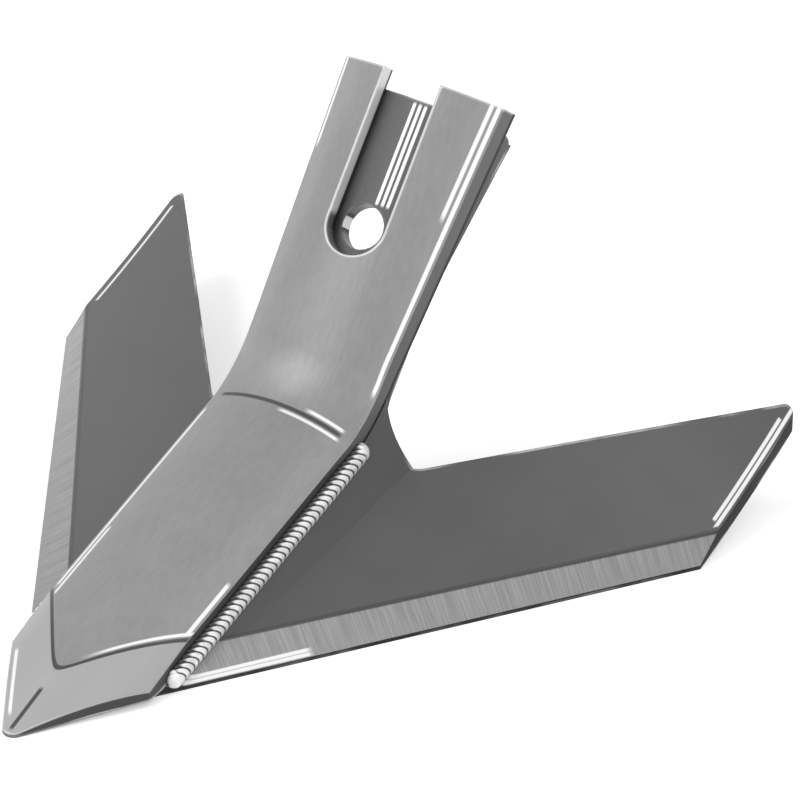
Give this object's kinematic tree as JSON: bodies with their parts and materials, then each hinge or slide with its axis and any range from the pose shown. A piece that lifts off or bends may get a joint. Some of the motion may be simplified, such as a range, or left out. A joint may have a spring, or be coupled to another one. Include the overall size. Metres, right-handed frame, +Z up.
{
  "type": "cultivator sweep",
  "caption": "Goosefoot cultivator sweep: swept-back wings with ground bevels, an arched stem with a bolt hole, and a slotted wear point welded over its nose.",
  "frame": {"origin": "on the ground under the middle of the part: half way between the nose and the wings' rear corners, in the plane of symmetry", "axes": "-Y points out of the nose, along the direction of travel; +X is the object's right as seen from in front of the nose; +Z is up, square to the plane of the cutting edges"},
  "size_m": [0.2674, 0.2896, 0.1441],
  "materials": {
    "blade_steel": "dark grey satin, ground bright along the bevels",
    "overlay_steel": "mid grey satin, lighter ground facets at the nose",
    "weld_metal": "bright rippled weld metal"
  },
  "bodies": {
    "root": {"sweep_blade": "blade_steel", "nose_overlay": "overlay_steel", "weld_bead_right": "weld_metal", "weld_bead_left": "weld_metal"}
  },
  "joints": []
}
